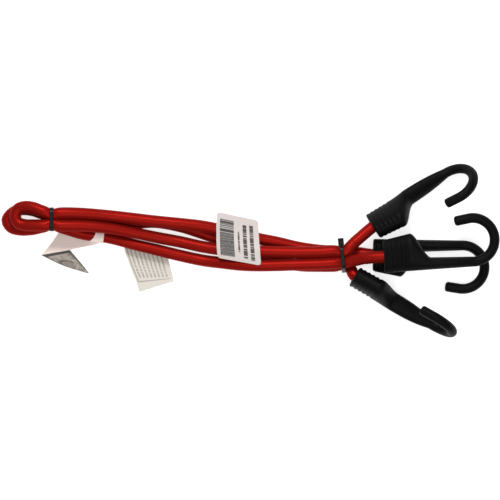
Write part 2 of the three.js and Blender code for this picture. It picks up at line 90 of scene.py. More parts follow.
# Middle lines of the two runs, from the tie at the hooks round the loop and back to it
CORD_ONE_ROUTE = [
    (0.0444, -0.0006, 0.0052), (0.0395, -0.0006, 0.0052), (0.0330, -0.0004, 0.0050),
    (0.0190, 0.0015, 0.0042), (0.0038, 0.0050, 0.0039), (-0.0114, 0.0080, 0.0048),
    (-0.0267, 0.0117, 0.0090), (-0.0419, 0.0149, 0.0106), (-0.0572, 0.0167, 0.0113),
    (-0.0724, 0.0182, 0.0114), (-0.0876, 0.0200, 0.0115), (-0.1029, 0.0217, 0.0123),
    (-0.1181, 0.0230, 0.0141), (-0.1295, 0.0234, 0.0154), (-0.1384, 0.0233, 0.0159),
    (-0.1445, 0.0248, 0.0156), (-0.1500, 0.0268, 0.0146), (-0.1556, 0.0274, 0.0132),
    (-0.1600, 0.0257, 0.0124), (-0.1616, 0.0216, 0.0121), (-0.1600, 0.0175, 0.0124),
    (-0.1556, 0.0158, 0.0132), (-0.1500, 0.0155, 0.0146), (-0.1445, 0.0155, 0.0156),
    (-0.1384, 0.0156, 0.0159), (-0.1295, 0.0154, 0.0156), (-0.1181, 0.0153, 0.0141),
    (-0.1029, 0.0139, 0.0120), (-0.0876, 0.0111, 0.0095), (-0.0724, 0.0080, 0.0074),
    (-0.0572, 0.0052, 0.0066), (-0.0419, 0.0019, 0.0086), (-0.0267, -0.0002, 0.0113),
    (-0.0114, -0.0007, 0.0119), (0.0038, -0.0012, 0.0121), (0.0190, -0.0015, 0.0123),
    (0.0330, -0.0012, 0.0127), (0.0395, -0.0007, 0.0129), (0.0444, -0.0006, 0.0129),
]
CORD_TWO_ROUTE = [
    (0.0444, -0.0102, 0.0052), (0.0395, -0.0102, 0.0052), (0.0330, -0.0102, 0.0050),
    (0.0190, -0.0098, 0.0042), (0.0038, -0.0068, 0.0038), (-0.0114, -0.0016, 0.0037),
    (-0.0267, 0.0048, 0.0037), (-0.0419, 0.0102, 0.0037), (-0.0572, 0.0150, 0.0037),
    (-0.0724, 0.0176, 0.0037), (-0.0876, 0.0171, 0.0038), (-0.1029, 0.0192, 0.0045),
    (-0.1181, 0.0216, 0.0063), (-0.1295, 0.0230, 0.0077), (-0.1384, 0.0233, 0.0082),
    (-0.1445, 0.0234, 0.0078), (-0.1510, 0.0254, 0.0064), (-0.1580, 0.0258, 0.0050),
    (-0.1636, 0.0236, 0.0041), (-0.1670, 0.0190, 0.0037), (-0.1646, 0.0146, 0.0039),
    (-0.1590, 0.0129, 0.0048), (-0.1510, 0.0132, 0.0064), (-0.1445, 0.0146, 0.0078),
    (-0.1384, 0.0156, 0.0082), (-0.1315, 0.0140, 0.0074), (-0.1257, 0.0122, 0.0062),
    (-0.1181, 0.0101, 0.0050), (-0.1029, 0.0078, 0.0047), (-0.0876, 0.0037, 0.0046),
    (-0.0724, 0.0002, 0.0046), (-0.0572, -0.0035, 0.0044), (-0.0419, -0.0067, 0.0049),
    (-0.0305, -0.0081, 0.0077), (-0.0203, -0.0093, 0.0103), (-0.0114, -0.0098, 0.0117),
    (0.0038, -0.0097, 0.0121), (0.0190, -0.0092, 0.0123), (0.0330, -0.0089, 0.0127),
    (0.0395, -0.0085, 0.0129), (0.0444, -0.0084, 0.0129),
]

# Each hook: its mouth, how it is turned, and the points that its cord passes on the way to it from the tie.
# "bend" is the length of cord past the tie that is made as a piece of its own, and "moves" lists the
# bodies that the cord joins, in order from the tie.
HOOKS = {
    "under": {
        "mouth": (0.0654, -0.0032, 0.00657), "yaw": -1, "opens": -1, "roll": 0, "pitch": 0,
        "via": [(0.0550, -0.0016, 0.0056)], "bend": 0, "moves": ("bundle", "under_hook"),
    },
    "upper": {
        "mouth": (0.0652, 0.0148, 0.00993), "yaw": 31.8, "opens": -1, "roll": 51, "pitch": 0,
        "via": [(0.0552, 0.0062, 0.0114)], "bend": 0.010, "moves": ("bundle", "upper_end", "upper_crimp"),
    },
    "lower": {
        "mouth": (0.0536, -0.0167, 0.01026), "yaw": -30.8, "opens": 1, "roll": 79.5, "pitch": 0,
        "via": [(0.0502, -0.0109, 0.0058), (0.0518, -0.0129, 0.0076), (0.0527, -0.0150, 0.0095)],
        "bend": 0.0066, "moves": ("bundle", "lower_end", "lower_crimp"),
    },
    "top": {
        "mouth": (0.0718, -0.0042, 0.02060), "yaw": 4, "opens": 1, "roll": 0, "pitch": -2,
        "via": [(0.0530, -0.0068, 0.0146), (0.0620, -0.0049, 0.0184)],
        "bend": 0.013, "moves": ("bundle", "top_end", "top_hook"),
    },
}
CORDS = {
    "one": {"route": CORD_ONE_ROUTE, "run_length": 0.425, "first": "under", "last": "upper"},
    "two": {"route": CORD_TWO_ROUTE, "run_length": 0.439, "first": "lower", "last": "top"},
}

# Hook, in its own frame: X along its bore from the mouth, Y to the side that it opens to
HOOK_SIDES = 40
MOUTH_WIDTH = 0.0204
MOUTH_ROUNDING = 0.0012
GRIP_LENGTH = 0.0174
GRIP_WIDTH = 0.0236
GRIP_THICKNESS = 0.0131
GRIP_SQUARENESS = 2.4
ROUND_SQUARENESS = 2.0
RIB_COUNT = 5
RIB_PITCH = 0.003
RIB_DEPTH = 0.00055
RIB_STEPS = 10
SHOULDER_LENGTH = 0.0128
SHOULDER_STEPS = 16
SHANK_LENGTH = 0.027
SHANK_STEPS = 10
SHANK_WIDTH = 0.0076
SHANK_THICKNESS = 0.0118
SHANK_TAPER_POWER = 2.5
ROD_RADIUS = 0.0031
BEND_RADIUS = 0.0138
BEND_ANGLE = math.radians(188)
BEND_STEPS = 60
TIP_LEG = 0.0092
TIP_ROUNDING = 0.0018
ROUNDING_STEPS = 5
MOULD_LINE = 0.00008
HOOK_SHARP_ANGLE = 40
BORE_RADIUS = 0.0041
BELL_FLARE = 0.0011
BELL_DEPTH = 0.003
BORE_LENGTH = 0.006
CAVITY_RADIUS = 0.005
CAVITY_END = 0.0161
BORE_FROM_BACK = MOUTH_WIDTH / 2
SHOULDER_END = GRIP_LENGTH + SHOULDER_LENGTH
BEND_START = SHOULDER_END + SHANK_LENGTH

# Cable ties: strap section, head, and the Y of the two low and two high strands that each goes round.
# A tie pinches the outer sides of its strands. Beside it, over the length "bulge", they bulge toward each
# other.
TIE_WIDTH = 0.0025
TIE_THICKNESS = 0.0009
TIE_PINCH = 0.0010
TIE_PINCH_LENGTH = 0.0030
PINCHED_SIDE = 0.6
TIE_BULGE = 0.00030
BULGED_SIDE = 0.75
TIE_REACH = CORD_RADIUS + BRAID_PROUD - TIE_PINCH
TIE_EDGE = 0.0003
TIE_CORNER_STEPS = 14
STACK_LOW = 0.0052
STACK_HIGH = 0.0129
HEAD_OUT = 0.0082
HEAD_SIZE = (0.0036, HEAD_OUT - TIE_REACH - TIE_THICKNESS / 2, 0.0046)
HEAD_BELOW_STRAND = 0.0015
HEAD_EDGE = 0.0005
HEAD_EDGE_STEPS = 3
HEAD_EDGE_PROFILE = 0.6
SLOT_RIM = 0.0005
SLOT_DEPTH = 0.0012
TAIL_LENGTH = 0.0011
TAIL_WIDTH = 0.0020
TIE_SHARP_ANGLE = 35
TIES = {
    "tie_loop_end": {
        "x": -0.1384, "yaw": 0, "lift": 0.003,
        "low": (0.0156, 0.0233), "high": (0.0156, 0.0233), "head": "under", "bulge": 0.020,
    },
    "tie_hook_end": {
        "x": 0.0460, "yaw": 6, "lift": 0.0,
        "low": (-0.0108, -0.0006), "high": (-0.0086, -0.0006), "head": "side", "bulge": 0.036,
    },
}

# Paper labels: the two ends of each row of the sheet, from its +Y edge to its -Y edge
PAPER = 0.00014
PAPER_SHARP_ANGLE = 50
SHEET_STEPS = 8
SHEET_COLUMNS = 40
STICKER_ROWS = [
    ((-0.0334, 0.0241, 0.0126), (-0.0076, 0.0187, 0.0056)),
    ((-0.0338, 0.0200, 0.0138), (-0.0074, 0.0145, 0.0066)),
    ((-0.0340, 0.0156, 0.0147), (-0.0072, 0.0106, 0.0079)),
    ((-0.0340, 0.0124, 0.0150), (-0.0070, 0.0074, 0.0091)),
    ((-0.0340, 0.0080, 0.0149), (-0.0067, 0.0036, 0.0133)),
    ((-0.0339, 0.0044, 0.0151), (-0.0064, 0.0008, 0.0161)),
    ((-0.0337, 0.0006, 0.0154), (-0.0062, -0.0026, 0.0165)),
    ((-0.0335, -0.0022, 0.0153), (-0.0059, -0.0064, 0.0165)),
    ((-0.0333, -0.0049, 0.0146), (-0.0057, -0.0099, 0.0163)),
]
STICKER_CORNER = 0.0018
HANGING_TAG_ROWS = [
    ((-0.0933, 0.0032, 0.0007), (-0.0652, -0.0040, 0.0007)),
    ((-0.0915, -0.0032, 0.00055), (-0.0637, -0.0096, 0.00055)),
    ((-0.0886, -0.0116, 0.0005), (-0.0624, -0.0146, 0.0005)),
    ((-0.0854, -0.0194, 0.0007), (-0.0616, -0.0176, 0.0007)),
    ((-0.0832, -0.0267, 0.0012), (-0.0614, -0.0200, 0.0012)),
]
CREASE_ROW = ((-0.1457, -0.0032, 0.0024), (-0.1273, 0.0000, 0.0016))
CREASE_TOLERANCE = 0.001
FLAG_ROWS = [
    ((-0.1348, 0.0108, 0.0006), (-0.1064, 0.0086, 0.00065)),
    ((-0.1398, 0.0034, 0.0009), (-0.1060, 0.0058, 0.00055)),
    CREASE_ROW,
]
FLAP_ROWS = [
    CREASE_ROW,
    ((-0.1316, -0.0099, 0.0016), (-0.1212, -0.0071, 0.0010)),
    ((-0.1160, -0.0149, 0.0005), (-0.1152, -0.0145, 0.0005)),
]
BAND_PLACE = (-0.1083, 0.00869, 0.00473)
BAND_YAW = math.radians(-7.7)
BAND_WIDTH = 0.0056
BAND_SLANT = 0.0030
BAND_SLANT_FROM = 0.4
BAND_RADIUS = CORD_RADIUS + FIT_GAP
BAND_STEPS = 64

# The strand over the hanging tag is pressed in where the tag lifts against it: how deep, where, on what
# side and over what length
TAG_PRESS = 0.00045
TAG_PRESS_PLACE = (-0.0890, 0.0041, 0.0046)
TAG_PRESS_SIDE = np.array([-0.22, -0.84, -0.50])
TAG_PRESS_LENGTH = 0.016

# Plain print on the labels, and painted shade along the flap's crease, in shares of a label across and down
# it. A higher scale makes finer bars, and a higher level makes fewer. Strengths are shares of the ink.
STICKER_BLOCKS = [
    {"across": (0.08, 0.41), "down": (0.11, 0.40), "scale": 60, "level": 0.44},
    {"across": (0.08, 0.41), "down": (0.40, 0.90), "scale": 190, "level": 0.37},
    {"across": (0.50, 0.54), "down": (0.30, 0.76), "scale": 46, "level": 0.38},
    {"across": (0.62, 0.71), "down": (0.14, 0.90), "scale": 40, "level": 0.38},
    {"across": (0.78, 0.87), "down": (0.12, 0.93), "scale": 44, "level": 0.38},
]
STICKER_STRENGTH = 0.95
TAG_BLOCK = {"across": (0.08, 0.90), "down": (0.04, 0.70), "scale": 30, "level": 0.38}
TAG_COLUMNS = 10.0
TAG_COLUMN = (0.25, 0.66)
TAG_RULES = [
    {"across": (0.08, 0.92), "down": (0.77, 0.80)},
    {"across": (0.045, 0.075), "down": (0.02, 0.80)},
]
TAG_STRENGTH = 0.62
CURL_ACROSS = 0.32
CURL_DOWN = 0.76
CURL_FLATNESS = 0.30
CURL_INSIDE = 0.072
CURL_OUTSIDE = 0.105
CURL_STRENGTH = 0.74
CURL_INSIDE_STRENGTH = 0.42
# Painted shade along the flap's crease: how far down it reaches, and how dark
FLAP_CREASE = 0.55
FLAP_CREASE_STRENGTH = 0.92
FLAP_FAR_EDGE = 0.87
FLAP_FAR_STRENGTH = 0.72
FLAP_NEAR_EDGE = 0.07
FLAP_NEAR_STRENGTH = 0.76
SMUDGE_RANGE = (-0.80, 1.20)

# Sockets of a node that mixes two colours
MIX_SHARE = 0
MIX_FIRST = 6
MIX_SECOND = 7
MIX_RESULT = 2


# Lines and rings

def catmull_rom(points, steps):
    """Points on a centripetal spline through a list of points, with so many steps to each span."""
    knots = np.array(points, float)
    padded = np.vstack([2 * knots[0] - knots[1], knots, 2 * knots[-1] - knots[-2]])
    share = np.linspace(0, 1, steps, endpoint=False)[:, None]
    found = []
    for i in range(1, len(padded) - 2):
        before, start, end, after = padded[i - 1:i + 3]
        pairs = ((before, start), (start, end), (end, after))
        back, span, on = (max(np.linalg.norm(b - a) ** 0.5, LEAST_KNOT) for a, b in pairs)
        leave = span * ((start - before) / back - (end - before) / (back + span) + (end - start) / span)
        arrive = span * ((end - start) / span - (after - start) / (span + on) + (after - end) / on)
        square = 3 * (end - start) - 2 * leave - arrive
        cube = 2 * (start - end) + leave + arrive
        found.append(start + leave * share + square * share ** 2 + cube * share ** 3)
    return np.vstack(found + [knots[-1:]])


def distances(line):
    """How far each point of a line is along it."""
    return np.concatenate([[0], np.cumsum(np.linalg.norm(np.diff(line, axis=0), axis=1))])


def evenly(line, step):
    """The same line with evenly spaced points, about so far apart."""
    along = distances(line)
    count = max(2, round(along[-1] / step) + 1)
    at = np.linspace(0, along[-1], count)
    return np.column_stack([np.interp(at, along, line[:, axis]) for axis in range(3)])


def unit(vectors):
    return vectors / np.linalg.norm(vectors, axis=-1, keepdims=True)


def section(sides, squareness=ROUND_SQUARENESS):
    """Corners of a section between -1 and 1 both ways: a circle, or boxier with more squareness."""
    angle = np.arange(sides) / sides * 2 * math.pi
    corners = np.column_stack([np.cos(angle), np.sin(angle)])
    return np.sign(corners) * np.abs(corners) ** (ROUND_SQUARENESS / squareness)


# Meshes

def loft_faces(ring_count, sides, closed=False):
    """Quads between rings of equal count. A closed loft joins the last ring to the first."""
    joins = ring_count if closed else ring_count - 1
    here = np.arange(joins)[:, None] * sides
    there = (np.arange(1, joins + 1)[:, None] % ring_count) * sides
    corner = np.arange(sides)[None, :]
    following = (corner + 1) % sides
    quads = np.stack([here + corner, here + following, there + following, there + corner], axis=-1)
    return quads.reshape(-1, 4).tolist()


def mesh_of(name, vertices, faces, material):
    """A smooth-shaded object from points in the frame."""
    mesh = bpy.data.meshes.new(name)
    mesh.from_pydata(np.asarray(vertices, float).tolist(), [], faces)
    mesh.polygons.foreach_set("use_smooth", [True] * len(mesh.polygons))
    mesh.materials.append(material)
    mesh.update()
    made = bpy.data.objects.new(name, mesh)
    bpy.context.scene.collection.objects.link(made)
    return made


def lofted(name, rings, material):
    """A skin over rings, capped at both ends."""
    count, sides = rings.shape[:2]
    last = (count - 1) * sides
    caps = [list(range(sides))[::-1], list(range(last, last + sides))]
    made = mesh_of(name, rings.reshape(-1, 3), loft_faces(count, sides) + caps, material)
    for cap in made.data.polygons[-2:]:
        cap.use_smooth = False
    return made


def sharpen(piece, degrees):
    """Splits the shading of a piece along edges that turn by more than an angle."""
    piece.data.set_sharp_from_angle(angle=math.radians(degrees))


# Materials

class Shader:
    """A new material with short calls for its nodes."""

    def __init__(self, name):
        self.material = bpy.data.materials.new(name)
        self.material.use_nodes = True
        self.tree = self.material.node_tree
        self.surface = self.tree.nodes["Principled BSDF"]

    def node(self, kind, inputs=None, **settings):
        made = self.tree.nodes.new(kind)
        for key, value in settings.items():
            setattr(made, key, value)
        for key, value in (inputs or {}).items():
            self.feed(made.inputs[key], value)
        return made

    def feed(self, socket, value):
        if isinstance(value, bpy.types.NodeSocket):
            self.tree.links.new(value, socket)
        else:
            socket.default_value = value

    def finish(self, **inputs):
        for key, value in inputs.items():
            self.feed(self.surface.inputs[key.replace("_", " ")], value)
        return self.material

    def math(self, operation, first, second=0.0):
        return self.node("ShaderNodeMath", {0: first, 1: second}, operation=operation).outputs[0]

    def mix(self, share, first, second, blend="MIX"):
        inputs = {MIX_SHARE: share, MIX_FIRST: first, MIX_SECOND: second}
        made = self.node("ShaderNodeMix", inputs, data_type="RGBA", blend_type=blend)
        return made.outputs[MIX_RESULT]

    def ramp(self, value, stops):
        made = self.node("ShaderNodeValToRGB", {"Fac": value})
        for _ in range(len(stops) - 2):
            made.color_ramp.elements.new(0.5)
        for element, (place, colour) in zip(made.color_ramp.elements, stops):
            element.position = place
            element.color = colour
        return made.outputs["Color"]

    def spread(self, value, low, high):
        """Spreads a value from 0 to 1 over low to high."""
        inputs = {"Value": value, "To Min": low, "To Max": high}
        return self.node("ShaderNodeMapRange", inputs).outputs["Result"]

    def noise(self, scale, detail):
        place = self.node("ShaderNodeTexCoord").outputs["Object"]
        inputs = {"Scale": scale, "Detail": detail, "Vector": place}
        return self.node("ShaderNodeTexNoise", inputs).outputs["Fac"]

    def bump(self, height, strength, distance):
        inputs = {"Strength": strength, "Distance": distance, "Height": height}
        return self.node("ShaderNodeBump", inputs).outputs["Normal"]

    def between(self, value, low, high):
        """1 where a value is between two limits, else 0."""
        above = self.math("GREATER_THAN", value, low)
        below = self.math("LESS_THAN", value, high)
        return self.math("MULTIPLY", above, below)


def grey(value):
    return (value, value, value, 1)


def braid_material():
    """Satin red yarn, with painted shade where the yarns dip under each other."""
    shader = Shader("braid")
    height = shader.node("ShaderNodeAttribute", attribute_name=BRAID_HEIGHT).outputs["Fac"]
    # Painted shade: the lower the braid's height, the darker the red, as shade in the hollows between the
    # yarns
    tone = shader.ramp(height, [
        (0.0, (0.080, 0.002, 0.001, 1)),
        (0.45, (0.220, 0.006, 0.004, 1)),
        (1.0, (0.360, 0.014, 0.010, 1)),
    ])
    wear = shader.noise(scale=60, detail=4)
    worn = shader.mix(wear, (0.82, 0.78, 0.78, 1), (1.12, 1.2, 1.2, 1))
    colour = shader.mix(1.0, tone, worn, blend="MULTIPLY")
    fibres = shader.noise(scale=4200, detail=2)
    return shader.finish(
        Base_Color=colour,
        Metallic=0.45,
        Roughness=shader.spread(fibres, low=0.30, high=0.44),
        Normal=shader.bump(fibres, strength=0.30, distance=0.0001),
        Specular_IOR_Level=0.05,
        Specular_Tint=(0.6, 0.06, 0.05, 1),
    )


def hook_material():
    """Moulded black plastic with a fine matte grain and faint scuffs."""
    shader = Shader("hook_plastic")
    scuffs = shader.noise(scale=220, detail=6)
    colour = shader.ramp(scuffs, [(0.35, grey(0.0020)), (0.62, grey(0.0030)), (0.8, grey(0.0060))])
    grain = shader.noise(scale=5200, detail=2)
    return shader.finish(
        Base_Color=colour,
        Roughness=shader.spread(scuffs, low=0.40, high=0.60),
        Normal=shader.bump(grain, strength=0.30, distance=0.00006),
        Specular_IOR_Level=0.07,
    )


def tie_material():
    """Smooth black nylon, a little glossier than the hooks."""
    shader = Shader("tie_nylon")
    cloud = shader.noise(scale=300, detail=3)
    return shader.finish(
        Base_Color=shader.ramp(cloud, [(0.3, grey(0.003)), (0.8, grey(0.006))]),
        Roughness=shader.spread(cloud, low=0.28, high=0.42),
        Normal=shader.bump(shader.noise(scale=2500, detail=2), strength=0.12, distance=0.00005),
        Specular_IOR_Level=0.16,
    )


def crimp_material():
    """Pressed steel with faint marks."""
    shader = Shader("crimp_steel")
    marks = shader.noise(scale=900, detail=4)
    return shader.finish(
        Base_Color=shader.ramp(marks, [(0.3, grey(0.42)), (0.8, grey(0.58))]),
        Metallic=1.0,
        Roughness=shader.spread(marks, low=0.25, high=0.45),
    )


def paper_tone(shader, light, dark):
    """Paper with faint fibres."""
    fibres = shader.noise(scale=1400, detail=5)
    return shader.ramp(fibres, [(0.3, dark), (0.7, light)])


def across_and_down(shader):
    """A label's own coordinates: across it and down it, from 0 to 1."""
    place = shader.node("ShaderNodeUVMap", uv_map="label").outputs["UV"]
    split = shader.node("ShaderNodeSeparateXYZ", {"Vector": place})
    return split.outputs["X"], split.outputs["Y"]


def bars(shader, value, block):
    """Bars of uneven width along a value: 1 on a bar, else 0."""
    place = shader.math("MULTIPLY", value, block["scale"])
    inputs = {"W": place, "Scale": 1.0, "Detail": 1.0}
    uneven = shader.node("ShaderNodeTexNoise", inputs, noise_dimensions="1D")
    return shader.math("GREATER_THAN", uneven.outputs["Fac"], block["level"])


def patch(shader, across, down, block):
    """1 inside a block of a label, else 0."""
    inside = shader.between(across, *block["across"])
    return shader.math("MULTIPLY", inside, shader.between(down, *block["down"]))


def strongest(shader, marks):
    """The strongest of some marks at each place."""
    mask = 0.0
    for mark in marks:
        mask = shader.math("MAXIMUM", mask, mark)
    return mask


# Ink for print, and on the flap also painted shade along its crease
DARK_INK_AND_SHADE = grey(0.03)


def paper_material(name, light, dark, print_and_shade_mask=None, ink=DARK_INK_AND_SHADE):
    """Paper, with a mask's marks in ink: print, and on the flap also painted shade along its crease."""
    shader = Shader(name)
    colour = paper_tone(shader, light, dark)
    if print_and_shade_mask:
        colour = shader.mix(print_and_shade_mask(shader), colour, ink)
    return shader.finish(
        Base_Color=colour,
        Roughness=0.62,
        Normal=shader.bump(shader.noise(scale=1800, detail=4), strength=0.18, distance=0.0001),
    )


def sticker_print(shader):
    """Two blocks of plain bars and three columns of plain dashes."""
    across, down = across_and_down(shader)
    marks = []
    for block in STICKER_BLOCKS:
        inside = patch(shader, across, down, block)
        marks.append(shader.math("MULTIPLY", inside, bars(shader, down, block)))
    return shader.math("MULTIPLY", strongest(shader, marks), STICKER_STRENGTH)


def tag_print(shader):
    """Faint dashes in columns down the tag, with a thin rule down one side and near its end."""
    across, down = across_and_down(shader)
    column = shader.math("FRACT", shader.math("MULTIPLY", across, TAG_COLUMNS))
    inside = patch(shader, across, down, TAG_BLOCK)
    dashes = shader.math("MULTIPLY", shader.between(column, *TAG_COLUMN), bars(shader, down, TAG_BLOCK))
    marks = [shader.math("MULTIPLY", dashes, inside)]
    marks += [patch(shader, across, down, rule) for rule in TAG_RULES]
    return shader.math("MULTIPLY", strongest(shader, marks), TAG_STRENGTH)


def flap_marks_and_crease_shade(shader):
    """A curl mark on the back of the folded flap, painted crease shade, dark edges and a smudge."""
    across, down = across_and_down(shader)
    aside = shader.math("MULTIPLY", shader.math("SUBTRACT", across, CURL_ACROSS), CURL_FLATNESS)
    below = shader.math("SUBTRACT", down, CURL_DOWN)
    squares = [shader.math("MULTIPLY", part, part) for part in (aside, below)]
    reach = shader.math("SQRT", shader.math("ADD", *squares))
    ring = shader.between(reach, CURL_INSIDE, CURL_OUTSIDE)
    curl = shader.math("MULTIPLY", ring, shader.math("LESS_THAN", down, CURL_DOWN))
    marks = [
        shader.math("MULTIPLY", curl, CURL_STRENGTH),
        shader.math("MULTIPLY", shader.math("LESS_THAN", reach, CURL_INSIDE), CURL_INSIDE_STRENGTH),
        # Painted shade along the crease
        shader.math("MULTIPLY", shader.math("LESS_THAN", down, FLAP_CREASE), FLAP_CREASE_STRENGTH),
        shader.math("MULTIPLY", shader.math("GREATER_THAN", across, FLAP_FAR_EDGE), FLAP_FAR_STRENGTH),
        shader.math("MULTIPLY", shader.math("LESS_THAN", across, FLAP_NEAR_EDGE), FLAP_NEAR_STRENGTH),
        shader.spread(shader.noise(scale=420, detail=3), *SMUDGE_RANGE),
    ]
    return strongest(shader, marks)


def floor_material():
    """A white table that is lit from below a little, so that shadows on it stay faint."""
    shader = Shader("floor")
    return shader.finish(
        Base_Color=grey(0.55),
        Roughness=0.9,
        Specular_IOR_Level=0.1,
        Emission_Color=grey(1.0),
        Emission_Strength=0.75,
    )


BRAID = braid_material()
HOOK_PLASTIC = hook_material()
TIE_NYLON = tie_material()
STEEL = crimp_material()
STICKER_PAPER = paper_material(
    "sticker_paper", light=(0.70, 0.63, 0.60, 1), dark=(0.62, 0.55, 0.52, 1), print_and_shade_mask=sticker_print,
)
TAG_CARD = paper_material(
    "tag_card", light=(0.75, 0.71, 0.635, 1), dark=(0.67, 0.635, 0.57, 1), print_and_shade_mask=tag_print,
    ink=(0.20, 0.17, 0.13, 1),
)
# White card with a pink tint that is painted light: red bounced onto it from the cords
FLAG_CARD = paper_material("flag_card", light=(1.0, 0.88, 0.82, 1), dark=(0.96, 0.82, 0.75, 1))
# The flap's mask paints shade along its crease, beside its marks
FLAP_CARD = paper_material(
    "flap_card", light=(0.46, 0.41, 0.345, 1), dark=(0.35, 0.30, 0.255, 1), print_and_shade_mask=flap_marks_and_crease_shade,
)


# Cords

def hook_matrix(hook):
    """A hook's frame: X along its bore, Y to the side that it opens to."""
    turn = math.radians(hook["yaw"])
    lift = math.radians(hook["roll"])
    climb = math.radians(hook["pitch"])
    left = Vector((-math.sin(turn), math.cos(turn), 0))
    along = Matrix.Rotation(-climb, 3, left) @ Vector((math.cos(turn), math.sin(turn), 0))
    over = along.cross(left)
    opening = left * (hook["opens"] * math.cos(lift)) + over * math.sin(lift)
    face = along.cross(opening)
    turned = Matrix((along, opening, face)).transposed().to_4x4()
    return Matrix.Translation(hook["mouth"]) @ turned


def end_line(hook, start, outward):
    """The middle line of a cord from its run's end, past the tie and into a hook."""
    clear = start + outward * STRAIGHT_FROM_TIE
    place = hook_matrix(hook)
    inside = [np.array(place @ Vector((along, 0, 0))) for along in IN_HOOK]
    return catmull_rom([start, clear, *hook["via"], *inside], SPLINE_STEPS)


def weave(turn, along):
    """Height of a diamond braid from 0 to 1: yarns of two crossing families take turns on top."""
    first = BRAID_YARNS * turn + along / BRAID_PITCH
    second = BRAID_YARNS * turn - along / BRAID_PITCH

    def hump(value):
        return np.sqrt(np.clip(1 - (2 * (value % 1) - 1) ** 2, 0, 1))

    parity = np.where((np.floor(first) + np.floor(second)) % 2 == 0, 1.0, -1.0)
    rise = np.sin(math.pi * (first % 1)) * np.sin(math.pi * (second % 1))
    one = YARN_ROUNDNESS * hump(first) + YARN_CROSSING * parity * rise
    two = YARN_ROUNDNESS * hump(second) - YARN_CROSSING * parity * rise
    return np.clip(np.maximum(one, two), 0, 1)


def fading(distance, length):
    """1 at no distance, and less the further it is, over about a length."""
    return np.exp(-(distance / length) ** 2)[:, None]


def tie_middle(tie):
    """The middle of a tie's strands, along Y and Z."""
    strands = tie["low"] + tie["high"]
    return np.array([sum(strands) / len(strands), (STACK_LOW + STACK_HIGH) / 2 + tie["lift"]])


def tie_pinch(tie, line, spoke):
    """How far a tie presses a cord in, from 0 to 1, on the side that faces out of the bundle."""
    outward = unit(line[:, 1:] - tie_middle(tie))
    facing = np.einsum("nsk,nk->ns", spoke[..., 1:], outward)
    return fading(line[:, 0] - tie["x"], TIE_PINCH_LENGTH) * np.clip(facing / PINCHED_SIDE, 0, 1)


def tie_bulge(tie, line, spoke):
    """How far a pinched cord bulges toward its neighbour beside a tie, from 0 to 1."""
    inward = np.sign(tie_middle(tie)[0] - line[:, 1])
    facing = spoke[..., 1] * inward[:, None]
    bulged = np.clip((facing - BULGED_SIDE) / (1 - BULGED_SIDE), 0, 1)
    return fading(line[:, 0] - tie["x"], tie["bulge"]) * bulged


def tag_press(line, spoke):
    """How far a cord is pressed in to leave room for the hanging tag as it lifts, from 0 to 1."""
    distance = np.linalg.norm(line - TAG_PRESS_PLACE, axis=1)
    return fading(distance, TAG_PRESS_LENGTH) * np.clip(spoke @ TAG_PRESS_SIDE, 0, 1)


def cord_rings(line):
    """Rings of a braided cord round a line, and the braid's height at each point."""
    along = distances(line)
    tangent = unit(np.gradient(line, axis=0))
    side = unit(np.cross(UP, tangent))
    up = np.cross(tangent, side)
    turn = np.arange(CORD_SIDES) / CORD_SIDES
    height = weave(turn[None, :], along[:, None])
    angle = turn * 2 * math.pi
    across = np.cos(angle)[None, :, None] * side[:, None, :]
    spoke = across + np.sin(angle)[None, :, None] * up[:, None, :]
    pinch = sum(tie_pinch(tie, line, spoke) for tie in TIES.values())
    bulge = sum(tie_bulge(tie, line, spoke) for tie in TIES.values())
    press = TIE_PINCH * pinch + TAG_PRESS * tag_press(line, spoke) - TIE_BULGE * bulge
    radius = CORD_RADIUS + BRAID_PROUD - press - BRAID_DEPTH * (1 - height)
    rings = line[:, None, :] + radius[..., None] * spoke
    rings[..., 2] = np.maximum(rings[..., 2], FLOOR_CONTACT)
    return rings, height


def cord_piece(name, rings, height):
    piece = lofted(name, rings, BRAID)
    braid = piece.data.attributes.new(BRAID_HEIGHT, "FLOAT", "POINT")
    braid.data.foreach_set("value", height.ravel().astype(np.float32))
    return piece


def ring_at(along, distance):
    return int(np.searchsorted(along, distance))


def end_pieces(name, line, rings, height):
    """The pieces of a cord's free end, from the tie on: one up to the hook's bend length, if any, and the
    rest.
    """
    hook = HOOKS[name]
    along = distances(line)
    split = ring_at(along, hook["bend"])
    pieces = []
    if split:
        bend = cord_piece(f"cord_{name}_bend", rings[:split + 1], height[:split + 1])
        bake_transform(bend)
        pieces.append(bend)
    stretch = cord_piece(f"cord_{name}_stretch", rings[split:], height[split:])
    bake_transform(stretch)
    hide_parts(f"sheath_{name}_end", f"core_{name}_end")
    pieces.append(stretch)
    return pieces


def make_cord(name, cord):
    """One cord from hook to hook as one line, cut into a run and two free ends."""
    run = catmull_rom(cord["route"], SPLINE_STEPS)
    outward = {"first": unit(run[0] - run[1]), "last": unit(run[-1] - run[-2])}
    first = end_line(HOOKS[cord["first"]], run[0] + outward["first"] * FIT_GAP, outward["first"])
    last = end_line(HOOKS[cord["last"]], run[-1] + outward["last"] * FIT_GAP, outward["last"])
    first_length = distances(first)[-1]
    last_length = distances(last)[-1]
    line = evenly(np.vstack([first[::-1], run, last]), RING_STEP)
    along = distances(line)
    rings, height = cord_rings(line)
    start = ring_at(along, first_length + FIT_GAP / 2)
    stop = ring_at(along, along[-1] - last_length - FIT_GAP / 2)
    piece = cord_piece(f"cord_{name}_run", rings[start:stop + 1], height[start:stop + 1])
    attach(piece, "bundle")
    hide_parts(f"sheath_{name}_run", f"core_{name}_run")
    before = end_pieces(cord["first"], line[start::-1], rings[start::-1], height[start::-1])
    # The first end's rings are in reverse order, so its faces are turned to face out
    for backward in before:
        backward.data.flip_normals()
    after = end_pieces(cord["last"], line[stop:], rings[stop:], height[stop:])


# Hooks

def eased(share):
    return share * share * (3 - 2 * share)


